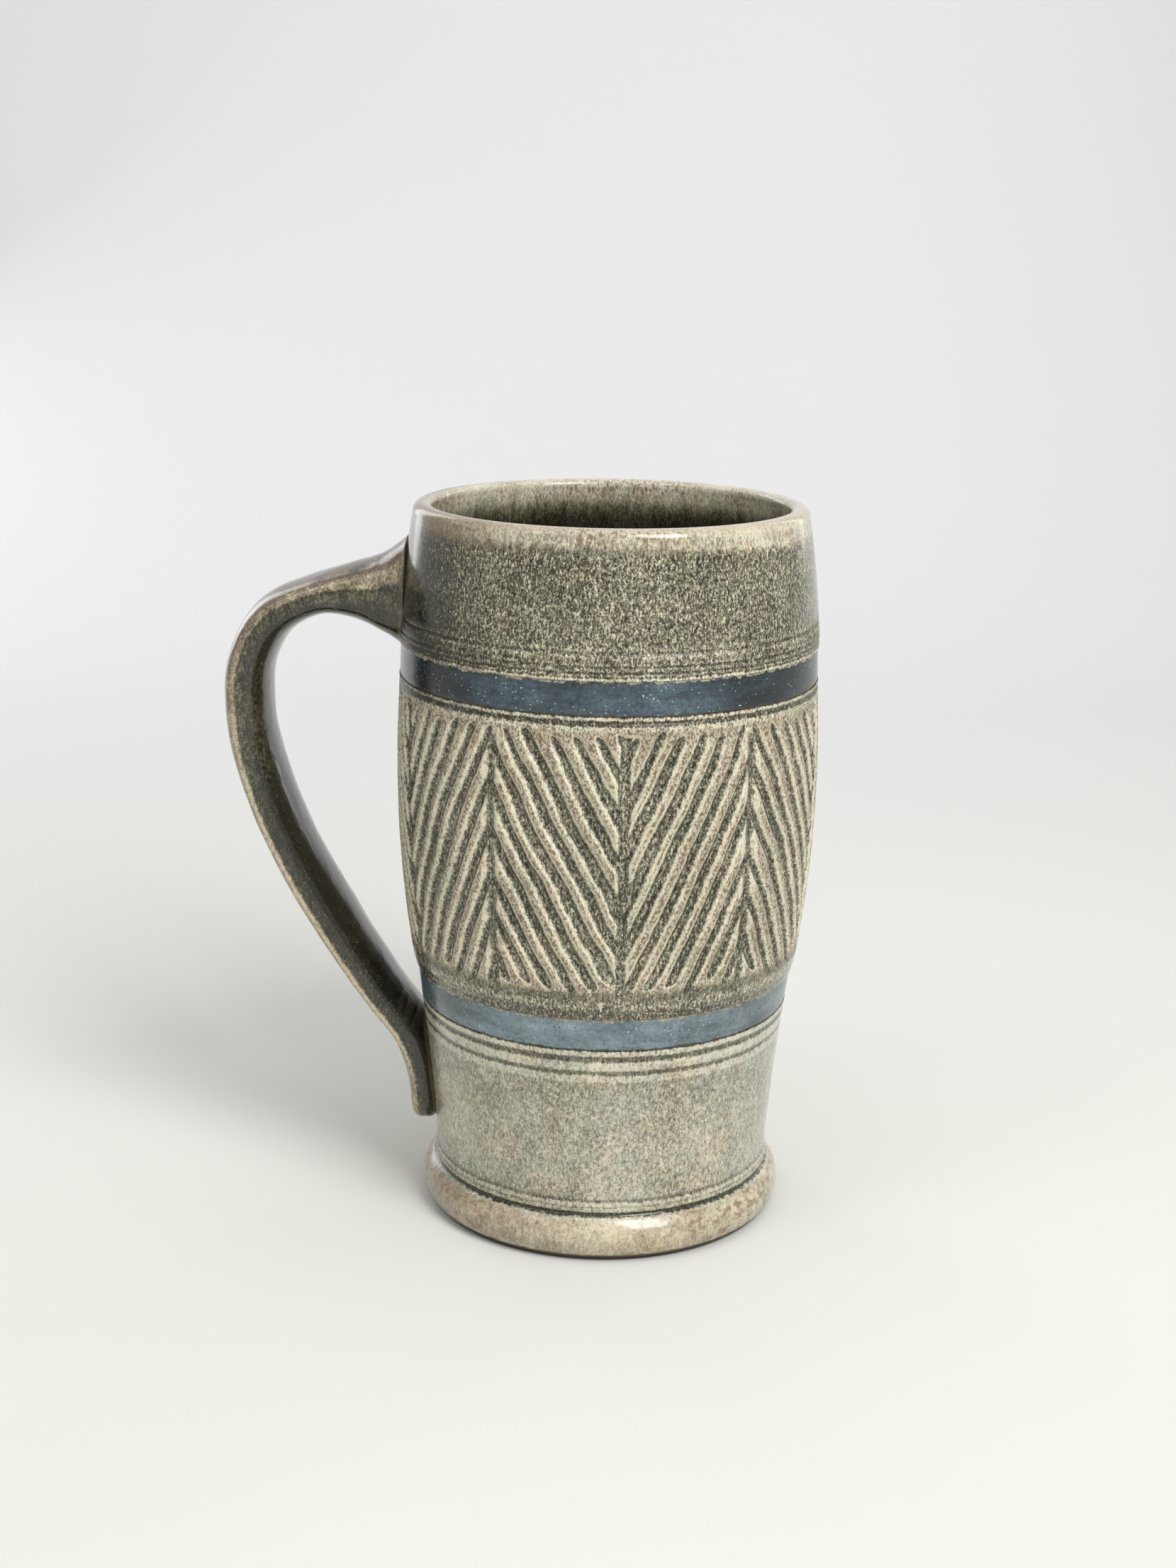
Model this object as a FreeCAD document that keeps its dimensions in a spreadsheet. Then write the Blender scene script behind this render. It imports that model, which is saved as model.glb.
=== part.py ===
import FreeCAD, Part
import math
import os
import Sketcher

# A hand-thrown stoneware beer stein: a turned and carved cup, a pulled strap handle, and
# the separately brushed and poured glaze coats.  The cup stands on z = 0 with its axis on
# Z; the handle points along -X.  Millimetres and degrees.

Vector = FreeCAD.Vector
ORIGIN = Vector(0, 0, 0)
UP = Vector(0, 0, 1)

DIMENSIONS = {
    # foot: a shallow turned recess inside a rounded foot bead
    "underside_rise": 1.5, "underside_reach": 29.5, "foot_inside_reach": 31.0,
    "foot_reach": 36.4, "bead_arc": 5.87, "bead_end_reach": 36.45, "bead_end_rise": 9.5,
    "waist_reach": 35.98, "waist_rise": 14.0, "lower_wall_arc": 572.0,
    # lower turned band and the shoulder above it
    "low_band_bottom": 46.9, "low_band_top": 53.9,
    "low_wall_reach": 39.25, "low_bed_bottom_reach": 38.55, "low_bed_top_reach": 39.3,
    "low_band_bottom_reach": 39.2, "low_band_top_reach": 40.15,
    "low_lip_reach": 40.35, "shoulder_reach": 41.2, "shoulder_rise": 57.0,
    # belly, which carries the carving
    "belly_arc": 261.4, "belly_end_reach": 43.78, "belly_end_rise": 112.0,
    # upper turned band
    "high_wall_reach": 43.65, "high_band_bottom": 116.5, "high_band_top": 123.5,
    "high_bed_bottom_reach": 42.75, "high_bed_top_reach": 42.5,
    "high_band_bottom_reach": 43.5, "high_band_top_reach": 43.3,
    # neck and rim
    "neck_reach": 43.6, "neck_rise": 125.3, "neck_arc": 251.0,
    "rim_outside_reach": 40.8, "rim_outside_rise": 150.0, "rim_arc": 2.3,
    "crest_reach": 38.6, "overall_height": 152.0,
    "lip_inside_reach": 37.0, "lip_inside_rise": 148.0,
    # inside of the cup
    "inner_belly_arc": 360.0, "inner_waist_reach": 34.9, "inner_waist_rise": 47.0,
    "inner_low_reach": 31.4, "inner_low_rise": 14.2,
    "floor_corner_arc": 6.2, "floor_reach": 25.2, "floor_rise": 8.0,
    "liner_coat": 0.4,
    # carving: ten half panels of slanting flutes that meet at upright valley lines
    "panels": 5, "first_valley": -82.9, "valley_width": 2.8,
    "flute_slope": 60.0, "flute_pitch": 8.75, "flute_width": 2.2, "flute_depth": 1.0,
    "carving_bottom": 59.0, "carving_top": 112.0,
    # strap handle
    "strap_corner": 3.4,
}

# Handle stations from the root in the wall, over the top bend, to the tail on the wall:
# reach from the axis, rise above the base, lean of the outer face's normal from straight
# up, depth through the strap and width across it.
HANDLE_STATIONS = {
    "root": (38.0, 132.2, 0, 26.0, 23.0),
    "root_wall": (43.2, 132.2, 0, 22.0, 21.2),
    "root_neck": (47.2, 131.9, 3, 16.5, 20.2),
    "root_end": (53.0, 132.3, 8, 11.4, 20.0),
    "top": (61.0, 131.4, 21, 8.2, 20.0),
    "bend": (69.6, 127.0, 46, 9.2, 20.0),
    "bend_end": (74.6, 118.6, 74, 9.6, 20.0),
    "back": (75.9, 109.0, 91, 9.6, 20.0),
    "back_low": (73.9, 96.4, 103, 9.5, 20.0),
    "slope_top": (67.2, 78.0, 115, 9.4, 20.0),
    "slope_low": (56.6, 59.0, 120, 9.3, 19.8),
    "tail_bend": (47.9, 45.6, 124, 8.4, 19.4),
    "tail_top": (41.3, 36.2, 110, 8.0, 19.2),
    "tail": (38.6, 27.5, 96, 7.2, 19.0),
    "tail_end": (38.1, 18.6, 93, 6.8, 18.6),
}

doc = FreeCAD.newDocument("beer_stein")
sheet = doc.addObject("Spreadsheet::Sheet", "dims")


def fill_sheet():
    """Write every driving dimension as a plain number with its alias."""
    cells = dict(DIMENSIONS)
    for station, values in HANDLE_STATIONS.items():
        for word, value in zip(("out", "up", "lean", "depth", "width"), values):
            cells[f"{station}_{word}"] = value
    for row, (alias, value) in enumerate(cells.items(), start=1):
        sheet.set(f"A{row}", alias)
        sheet.set(f"B{row}", str(value))
        sheet.setAlias(f"B{row}", alias)
    doc.recompute()


def size(alias):
    """Read one driving dimension back from the sheet."""
    return float(sheet.get(alias))


def value_of(expression):
    """Work out an expression such as 'foot_reach - liner_coat' with the sheet's numbers."""
    total = 0.0
    sign = 1
    for word in expression.split():
        if word in "+-":
            sign = 1 if word == "+" else -1
        else:
            total += sign * (size(word) if word in DIMENSIONS else float(word))
    return total


def bound(expression):
    """Turn the words of an expression into references to the sheet."""
    return " ".join(f"dims.{w}" if w in DIMENSIONS else w for w in expression.split())


def plane_of(body, role):
    """Return one of a body's own origin planes."""
    for feature in body.Origin.OriginFeatures:
        if feature.Role == role:
            return feature
    raise ValueError(role)


def arc_between(start, end, radius, side):
    """An arc from start to end that bulges to the left (side 1) or right (side -1) of it."""
    chord = end - start
    half = chord.Length / 2
    sagitta = radius - math.sqrt(radius * radius - half * half)
    left = Vector(-chord.y, chord.x, 0).normalize()
    return Part.Arc(start, (start + end) / 2 + left * sagitta * side, end)


def outline_sketch(body, name, corners):
    """Draw a closed outline on the XZ plane; each corner is (reach, rise[, arc, side])."""
    sketch = body.newObject("Sketcher::SketchObject", name)
    sketch.AttachmentSupport = (plane_of(body, "XZ_Plane"), [""])
    sketch.MapMode = "FlatFace"
    points = [Vector(value_of(c[0]), value_of(c[1]), 0) for c in corners]
    ends = []
    for number, corner in enumerate(corners):
        start = points[number - 1]
        end = points[number]
        if len(corner) == 4:
            curve = arc_between(start, end, value_of(corner[2]), corner[3])
        else:
            curve = Part.LineSegment(start, end)
        geometry = sketch.addGeometry(curve, False)
        first = 1 if sketch.getPoint(geometry, 1).distanceToPoint(start) < 1e-6 else 2
        ends.append((geometry, first, 3 - first))
        if len(corner) == 4:
            index = sketch.addConstraint(Sketcher.Constraint("Radius", geometry, value_of(corner[2])))
            sketch.setExpression(f"Constraints[{index}]", bound(corner[2]))
    for number, corner in enumerate(corners):
        geometry, first, last = ends[number]
        following, following_first, _ = ends[(number + 1) % len(ends)]
        sketch.addConstraint(
            Sketcher.Constraint("Coincident", geometry, last, following, following_first))
        for kind, word, coordinate, axis in (("DistanceX", corner[0], points[number].x, -2),
                                             ("DistanceY", corner[1], points[number].y, -1)):
            if coordinate == 0:
                sketch.addConstraint(Sketcher.Constraint("PointOnObject", geometry, last, axis))
                continue
            index = sketch.addConstraint(
                Sketcher.Constraint(kind, -1, 1, geometry, last, coordinate))
            sketch.setExpression(f"Constraints[{index}]", bound(word))
    return sketch


def turned(name, corners):
    """A body made by turning an outline round the cup's axis."""
    body = doc.addObject("PartDesign::Body", name)
    body.Label = name
    sketch = outline_sketch(body, f"{name}_outline", corners)
    revolution = body.newObject("PartDesign::Revolution", f"{name}_turned")
    revolution.Profile = sketch
    revolution.ReferenceAxis = (sketch, ["V_Axis"])
    revolution.Angle = 360
    body.Tip = revolution
    return body


FOOT_AND_LOWER_WALL = [
    ("0", "underside_rise"),
    ("underside_reach", "underside_rise"),
    ("foot_inside_reach", "0"),
    ("foot_reach", "0"),
    ("bead_end_reach", "bead_end_rise", "bead_arc", -1),
    ("waist_reach", "waist_rise"),
    ("low_wall_reach", "low_band_bottom", "lower_wall_arc", 1),
]
SHOULDER_AND_BELLY = [
    ("low_lip_reach", "low_band_top"),
    ("shoulder_reach", "shoulder_rise"),
    ("belly_end_reach", "belly_end_rise", "belly_arc", -1),
    ("high_wall_reach", "high_band_bottom"),
]
NECK_AND_RIM = [
    ("neck_reach", "high_band_top"),
    ("neck_reach", "neck_rise"),
    ("rim_outside_reach", "rim_outside_rise", "neck_arc", -1),
    ("crest_reach", "overall_height", "rim_arc", -1),
]
LOW_BAND_BED = [("low_bed_bottom_reach", "low_band_bottom"), ("low_bed_top_reach", "low_band_top")]
LOW_BAND_FACE = [("low_band_bottom_reach", "low_band_bottom"), ("low_band_top_reach", "low_band_top")]
HIGH_BAND_BED = [("high_bed_bottom_reach", "high_band_bottom"), ("high_bed_top_reach", "high_band_top")]
HIGH_BAND_FACE = [("high_band_bottom_reach", "high_band_bottom"),
                  ("high_band_top_reach", "high_band_top")]


def inside_outline(inset):
    """The cup's inside from the lip down to the middle of the floor, inset by a coat."""
    return [
        (f"lip_inside_reach - {inset}", "lip_inside_rise"),
        (f"inner_waist_reach - {inset}", "inner_waist_rise", "inner_belly_arc", 1),
        (f"inner_low_reach - {inset}", "inner_low_rise"),
        ("floor_reach", f"floor_rise + {inset}", f"floor_corner_arc - {inset}", 1),
        ("0", f"floor_rise + {inset}"),
    ]


def backwards(corners):
    """The same outline walked the other way, with each arc kept on its own stretch."""
    walked = []
    for number in reversed(range(len(corners))):
        arc = corners[number + 1][2:] if number + 1 < len(corners) else ()
        walked.append(corners[number][:2] + ((arc[0], -arc[1]) if arc else ()))
    return walked


def carving_tool():
    """Everything the carver cuts away from the belly: slanting flutes and upright valleys."""
    bottom, top = size("carving_bottom"), size("carving_top")
    start = Vector(size("shoulder_reach"), size("shoulder_rise"), 0)
    end = Vector(size("belly_end_reach"), size("belly_end_rise"), 0)
    belly = arc_between(start, end, size("belly_arc"), -1).toShape().Curve
    outside = size("belly_end_reach") + 3
    depth_radius = size("belly_arc") - size("flute_depth")

    def cut_floor(rise):
        return belly.Center.x + math.sqrt(depth_radius ** 2 - (rise - belly.Center.y) ** 2)

    inner = Part.Arc(*(Vector(cut_floor(z), 0, z) for z in (bottom, (bottom + top) / 2, top)))
    corners = [Vector(cut_floor(top), 0, top), Vector(outside, 0, top),
               Vector(outside, 0, bottom), Vector(cut_floor(bottom), 0, bottom)]
    section = Part.Face(Part.Wire([inner.toShape()] + Part.makePolygon(corners).Edges))

    half_panel = 180 / size("panels")
    valley = math.degrees(size("valley_width") / size("belly_end_reach")) / 2
    channel = section.copy()
    channel.rotate(ORIGIN, UP, -valley)
    channel = channel.revolve(ORIGIN, UP, 2 * valley)
    panel = section.copy()
    panel.rotate(ORIGIN, UP, valley / 2)
    panel = panel.revolve(ORIGIN, UP, half_panel - valley)

    length = 2 * (top - bottom)
    middle_reach = size("belly_end_reach")
    half_arc = math.radians(half_panel / 2) * middle_reach
    climb = 2 * half_arc * math.tan(math.radians(size("flute_slope")))
    count = math.ceil((top - bottom + climb) / size("flute_pitch"))
    first = bottom - climb / 2 + size("flute_pitch") / 2
    flutes = []
    for number in range(count):
        slab = Part.makeBox(length, 20, size("flute_width"),
                            Vector(-length / 2, -10, -size("flute_width") / 2))
        slab.rotate(ORIGIN, Vector(0, 1, 0), -size("flute_slope"))
        slab.translate(Vector(0, -middle_reach, first + number * size("flute_pitch")))
        slab.rotate(ORIGIN, UP, 90 + half_panel / 2)
        flutes.extend(panel.common(slab).Solids)
    right = Part.makeCompound(flutes)
    left = right.mirror(ORIGIN, Vector(0, 1, 0))
    one_panel = channel.multiFuse(right.Solids + left.Solids)
    cuts = []
    for number in range(int(size("panels"))):
        copy = one_panel.copy()
        copy.rotate(ORIGIN, UP, size("first_valley") + number * 2 * half_panel)
        cuts.append(copy)
    return Part.makeCompound(cuts)


def strap_section(body, station):
    """A rounded-rectangle section of the strap, set square across its path."""
    sketch = body.newObject("Sketcher::SketchObject", f"section_{station}")
    sketch.AttachmentSupport = (plane_of(body, "YZ_Plane"), [""])
    sketch.MapMode = "FlatFace"
    out, up, lean, depth, width = (size(f"{station}_{w}")
                                   for w in ("out", "up", "lean", "depth", "width"))
    turn = FreeCAD.Rotation(Vector(-1, 0, 0), lean)
    sketch.AttachmentOffset = FreeCAD.Placement(Vector(0, up, -out), turn)
    sketch.setExpression("AttachmentOffset.Base.y", f"dims.{station}_up")
    sketch.setExpression("AttachmentOffset.Base.z", f"-dims.{station}_out")
    round_off = min(size("strap_corner"), 0.45 * depth)
    x, y = width / 2, depth / 2
    a, b = x - round_off, y - round_off
    lines = [((-a, -y), (a, -y)), ((x, -b), (x, b)), ((a, y), (-a, y)), ((-x, b), (-x, -b))]
    centres = [(a, -b), (a, b), (-a, b), (-a, -b)]
    for number in range(4):
        (x0, y0), (x1, y1) = lines[number]
        sketch.addGeometry(Part.LineSegment(Vector(x0, y0, 0), Vector(x1, y1, 0)), False)
        cx, cy = centres[number]
        circle = Part.Circle(Vector(cx, cy, 0), UP, round_off)
        begin = math.radians(90 * number - 90)
        sketch.addGeometry(Part.ArcOfCircle(circle, begin, begin + math.pi / 2), False)
    for number in range(4):
        line, arc, following = 2 * number, 2 * number + 1, (2 * number + 2) % 8
        sketch.addConstraint(Sketcher.Constraint("Tangent", line, 2, arc, 1))
        sketch.addConstraint(Sketcher.Constraint("Tangent", arc, 2, following, 1))
        if number:
            sketch.addConstraint(Sketcher.Constraint("Equal", 1, arc))
    sketch.addConstraint(Sketcher.Constraint("Horizontal", 0))
    sketch.addConstraint(Sketcher.Constraint("Vertical", 2))
    sketch.addConstraint(Sketcher.Constraint("Symmetric", 0, 1, 4, 1, -1, 1))
    index = sketch.addConstraint(Sketcher.Constraint("Radius", 1, round_off))
    sketch.setExpression(f"Constraints[{index}]",
                         f"min(dims.strap_corner; 0.45 * dims.{station}_depth)")
    index = sketch.addConstraint(Sketcher.Constraint("DistanceY", 0, 1, 4, 1, depth))
    sketch.setExpression(f"Constraints[{index}]", f"dims.{station}_depth")
    index = sketch.addConstraint(Sketcher.Constraint("DistanceX", 6, 1, 2, 1, width))
    sketch.setExpression(f"Constraints[{index}]", f"dims.{station}_width")
    return sketch


def strap():
    """The pulled strap as a loft through its stations, still running into the cup wall."""
    body = doc.addObject("PartDesign::Body", "strap_blank")
    sections = [strap_section(body, station) for station in HANDLE_STATIONS]
    loft = body.newObject("PartDesign::AdditiveLoft", "strap_loft")
    loft.Profile = sections[0]
    loft.Sections = sections[1:]
    loft.Ruled = False
    body.Tip = loft
    return body


def cut(name, base, tool):
    """A named sub-part: base with tool taken away."""
    result = doc.addObject("Part::Cut", name)
    result.Base = base
    result.Tool = tool
    result.Label = name
    return result


fill_sheet()

# The cup: turned blank, then carved.
cup_blank = turned("cup_blank", FOOT_AND_LOWER_WALL + LOW_BAND_BED + SHOULDER_AND_BELLY
                   + HIGH_BAND_BED + NECK_AND_RIM + inside_outline("0"))
carving = doc.addObject("Part::Feature", "carving")
carving.Shape = carving_tool()
thrown_body = cut("thrown_body", cup_blank, carving)

# Blue glaze that fills the two turned beds.
lower_blue_band = turned("lower_blue_band", LOW_BAND_BED + backwards(LOW_BAND_FACE))
upper_blue_band = turned("upper_blue_band", HIGH_BAND_BED + backwards(HIGH_BAND_FACE))

# Glaze poured inside the cup.
liner_glaze = turned("liner_glaze", inside_outline("0") + backwards(inside_outline("liner_coat")))

# The handle: the strap's ends are shaped to the outside of the cup, where slip bonds them.
outer_form = turned("outer_form", FOOT_AND_LOWER_WALL + LOW_BAND_FACE + SHOULDER_AND_BELLY
                    + HIGH_BAND_FACE + NECK_AND_RIM + [("0", "overall_height")])
pulled_handle = cut("pulled_handle", strap(), outer_form)

doc.recompute()

for item in doc.Objects:
    if {"Invalid", "Error"} & set(item.State):
        raise RuntimeError(f"{item.Name} failed: {item.State}")

os.makedirs("parts", exist_ok=True)
for piece in (thrown_body, pulled_handle, upper_blue_band, lower_blue_band, liner_glaze):
    shape = piece.Shape
    if shape.isNull() or not shape.isValid() or not shape.Solids:
        raise RuntimeError(f"{piece.Label} is not a valid solid")
    shape.exportStep(f"parts/{piece.Label}.step")
    print(f"{piece.Label}: {len(shape.Solids)} solid, {len(shape.Faces)} faces, "
          f"{shape.Volume / 1000:.1f} cm3")
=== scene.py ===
import math
import bmesh
import bpy
import numpy as np
from mathutils import Matrix, Vector


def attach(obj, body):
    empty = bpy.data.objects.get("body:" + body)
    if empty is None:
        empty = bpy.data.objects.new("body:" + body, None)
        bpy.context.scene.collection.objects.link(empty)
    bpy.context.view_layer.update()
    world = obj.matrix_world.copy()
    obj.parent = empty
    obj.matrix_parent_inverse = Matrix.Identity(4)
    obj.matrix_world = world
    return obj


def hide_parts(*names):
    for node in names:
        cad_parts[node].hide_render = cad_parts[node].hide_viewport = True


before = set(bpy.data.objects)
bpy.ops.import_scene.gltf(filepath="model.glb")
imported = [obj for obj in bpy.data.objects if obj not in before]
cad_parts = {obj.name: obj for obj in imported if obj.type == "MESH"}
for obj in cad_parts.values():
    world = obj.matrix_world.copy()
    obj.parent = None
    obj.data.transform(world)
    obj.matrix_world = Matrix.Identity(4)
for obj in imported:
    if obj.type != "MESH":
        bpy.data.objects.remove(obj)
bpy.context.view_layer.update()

MM = 0.001  # sizes below are in millimetres, Blender's are in metres


# ---------------------------------------------------------------------------------------
# The thrown cup.  One piece of stoneware, thrown and turned on the wheel: a trimmed foot
# with a rounded bead, turned lines, a shallow bed for each blue band, and a belly that is
# carved with a loop tool while the clay is leather-hard.
# ---------------------------------------------------------------------------------------

UNDERSIDE_RISE, UNDERSIDE_REACH = 1.5, 29.0
FOOT_INSIDE, FOOT_REACH = 31.0, 36.4
BEAD_HEIGHT, BEAD_SWELL = 9.5, 2.4
LOW_BED_FROM, LOW_BED_TO, SHOULDER_TOP = 46.9, 53.9, 57.0
HIGH_BED_FROM, HIGH_BED_TO = 116.5, 123.5
RIM_HEIGHT, RIM_REACH, RIM_HALF, RIM_RISE = 150.0, 38.6, 2.2, 1.98
# The outside as (height, reach from the axis), without its turned lines.
LOWER_WALL = [(BEAD_HEIGHT, 36.42), (11.0, 36.3), (14.0, 35.98), (20.0, 36.43), (30.0, 37.33),
              (40.0, 38.41), (LOW_BED_FROM, 39.25)]
LOW_BED = [(LOW_BED_FROM, 38.55), (LOW_BED_TO, 39.3)]
SHOULDER = [(LOW_BED_TO, 40.35), (55.2, 40.85), (SHOULDER_TOP, 41.2)]
BELLY = [(SHOULDER_TOP, 41.2), (65.0, 42.3), (75.0, 43.33), (85.0, 43.97), (95.0, 44.19),
         (105.0, 44.09), (112.0, 43.76), (HIGH_BED_FROM, 43.63)]
HIGH_BED = [(HIGH_BED_FROM, 42.75), (HIGH_BED_TO, 42.5)]
NECK = [(HIGH_BED_TO, 43.58), (125.3, 43.58), (129.0, 43.32), (135.0, 42.77), (141.0, 42.09),
        (147.0, 41.25), (RIM_HEIGHT, 40.78)]
# Lines cut with the corner of a turning tool: height, half width, depth.
TURNED_LINES = [(9.9, 0.75, 0.5), (11.4, 0.3, 0.12), (12.75, 0.5, 0.16), (41.8, 0.7, 0.28),
                (45.0, 0.75, 0.32), (55.3, 0.7, 0.2), (115.3, 0.55, 0.26), (124.9, 0.5, 0.26),
                (126.1, 0.45, 0.2), (128.8, 0.6, 0.3)]
# The clay inside, from the lip down, which the liner glaze covers.
INSIDE = [(148.0, 37.0), (140.0, 37.8), (130.0, 38.55), (112.0, 39.15), (95.0, 38.95),
          (75.0, 37.6), (60.0, 36.2), (47.0, 34.9), (30.0, 33.1), (14.2, 31.4)]
FLOOR_RISE, FLOOR_REACH = 8.0, 25.2
CARVED_LOW, CARVED_HIGH, CARVED_STEP = 58.6, 113.7, 0.56
HIDDEN, TURNED, CARVED = 65, 260, 520  # columns round each zone, each a multiple of the last
SHARP = 1.1  # radians between two faces, past which their edge stays crisp


def reach_at(points, heights):
    """Reach of a smooth line through (height, reach) points, at the given heights."""
    height, reach = np.array(sorted(points)).T
    slope = np.gradient(reach, height)
    at = np.clip(heights, height[0], height[-1])
    k = np.clip(np.searchsorted(height, at) - 1, 0, len(height) - 2)
    span = height[k + 1] - height[k]
    t = (at - height[k]) / span
    start = (2 * t ** 3 - 3 * t ** 2 + 1) * reach[k] + (t ** 3 - 2 * t ** 2 + t) * span * slope[k]
    end = (3 * t ** 2 - 2 * t ** 3) * reach[k + 1] + (t ** 3 - t ** 2) * span * slope[k + 1]
    return start + end


def turned_wall(points, low, high, step):
    """Rings (reach, height, columns) up a stretch of wall, close together at its lines."""
    plain = np.linspace(low, high, max(2, round((high - low) / step) + 1))
    heights = [z for z in plain if all(abs(z - at) > 1.3 * half for at, half, _ in TURNED_LINES)]
    for at, half, _ in TURNED_LINES:
        heights += [at + half * k for k in (-1.2, -0.8, -0.4, 0.0, 0.4, 0.8, 1.2)]
    heights = np.array(sorted({low, high, *(z for z in heights if low < z < high)}))
    reach = reach_at(points, heights)
    for at, half, depth in TURNED_LINES:
        reach = reach - depth * np.exp(-((heights - at) / (0.6 * half)) ** 2)
    return [(r, z, TURNED) for r, z in zip(reach, heights)]


def face_outwards(mesh):
    """Turn every face of a closed mesh outwards."""
    shape = bmesh.new()
    shape.from_mesh(mesh)
    bmesh.ops.recalc_face_normals(shape, faces=shape.faces)
    shape.to_mesh(mesh)
    shape.free()


def put_in_scene(name, data):
    """A new object in the scene, at the origin."""
    thing = bpy.data.objects.new(name, data)
    bpy.context.scene.collection.objects.link(thing)
    return thing


def lathe(name, rings, closed=False):
    """A mesh turned through rings (reach, height, columns); reach 0 closes it to a point."""
    counts = [columns if reach > 0 else 1 for reach, _, columns in rings]
    vertices, starts = [], []
    for count, (reach, height, columns) in zip(counts, rings):
        starts.append(len(vertices))
        for k in range(count):
            turn = 2 * math.pi * k / columns
            vertices.append((reach * MM * math.sin(turn), -reach * MM * math.cos(turn),
                             height * MM))
    faces = []
    for number in range(len(rings) if closed else len(rings) - 1):
        following = (number + 1) % len(rings)
        below, above = counts[number], counts[following]
        steps = min(n for n in (below, above) if n > 1)
        for k in range(steps):
            face = []
            for start, n, way in ((starts[number], below, 1), (starts[following], above, -1)):
                share = n // steps
                corners = [start + (k * share + j) % n for j in range(share + 1)]
                face += [start] if n == 1 else corners[::way]
            faces.append(face)
    mesh = bpy.data.meshes.new(name)
    mesh.from_pydata(vertices, [], faces)
    face_outwards(mesh)
    mesh.shade_smooth()
    mesh.set_sharp_from_angle(angle=SHARP)
    return put_in_scene(name, mesh)


foot = [(0, UNDERSIDE_RISE, TURNED), (12, UNDERSIDE_RISE, HIDDEN),
        (UNDERSIDE_REACH, UNDERSIDE_RISE, TURNED), (29.7, 1.3, TURNED), (30.6, 0.3, TURNED),
        (FOOT_INSIDE, 0.03, TURNED), (31.5, 0, TURNED), (34.0, 0, TURNED), (35.9, 0, TURNED)]
bead_radius = ((BEAD_HEIGHT / 2) ** 2 + BEAD_SWELL ** 2) / (2 * BEAD_SWELL)
bead_half = math.asin(BEAD_HEIGHT / 2 / bead_radius)
bead = [(FOOT_REACH + bead_radius * (math.cos(lean) - math.cos(bead_half)),
         BEAD_HEIGHT / 2 + bead_radius * math.sin(lean), TURNED)
        for lean in np.linspace(-0.93, 0.98, 17) * bead_half]
belly_heights = np.arange(CARVED_LOW, CARVED_HIGH, CARVED_STEP)
belly = [(r, z, CARVED) for r, z in zip(reach_at(BELLY, belly_heights), belly_heights)]
rim = [(RIM_REACH + RIM_HALF * math.cos(lean), RIM_HEIGHT + RIM_RISE * math.sin(lean), TURNED)
       for lean in np.radians([15, 32, 50, 70, 90, 110, 130, 148])]
lip = [(36.96, 150.1, TURNED), (36.96, 149.2, TURNED), (36.99, 148.3, TURNED)]
inside = [(reach_at(INSIDE, z), z, TURNED) for z, _ in INSIDE]
floor_inside = [(29.4, 10.0, HIDDEN), (FLOOR_REACH, FLOOR_RISE, HIDDEN), (0, FLOOR_RISE, HIDDEN)]

cup = lathe("carved_cup", (
    foot
    + bead
    + turned_wall(LOWER_WALL, BEAD_HEIGHT, LOW_BED_FROM, 2.0)
    + [(reach, height, TURNED) for height, reach in LOW_BED]
    + turned_wall(SHOULDER, LOW_BED_TO, SHOULDER_TOP, 0.8)
    + turned_wall(BELLY, 57.6, 58.2, 0.6)
    + belly
    + turned_wall(BELLY, 114.1, HIGH_BED_FROM, 0.8)
    + [(reach, height, TURNED) for height, reach in HIGH_BED]
    + turned_wall(NECK, HIGH_BED_TO, RIM_HEIGHT, 1.6)
    + rim
    + lip
    + inside
    + floor_inside))


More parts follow.
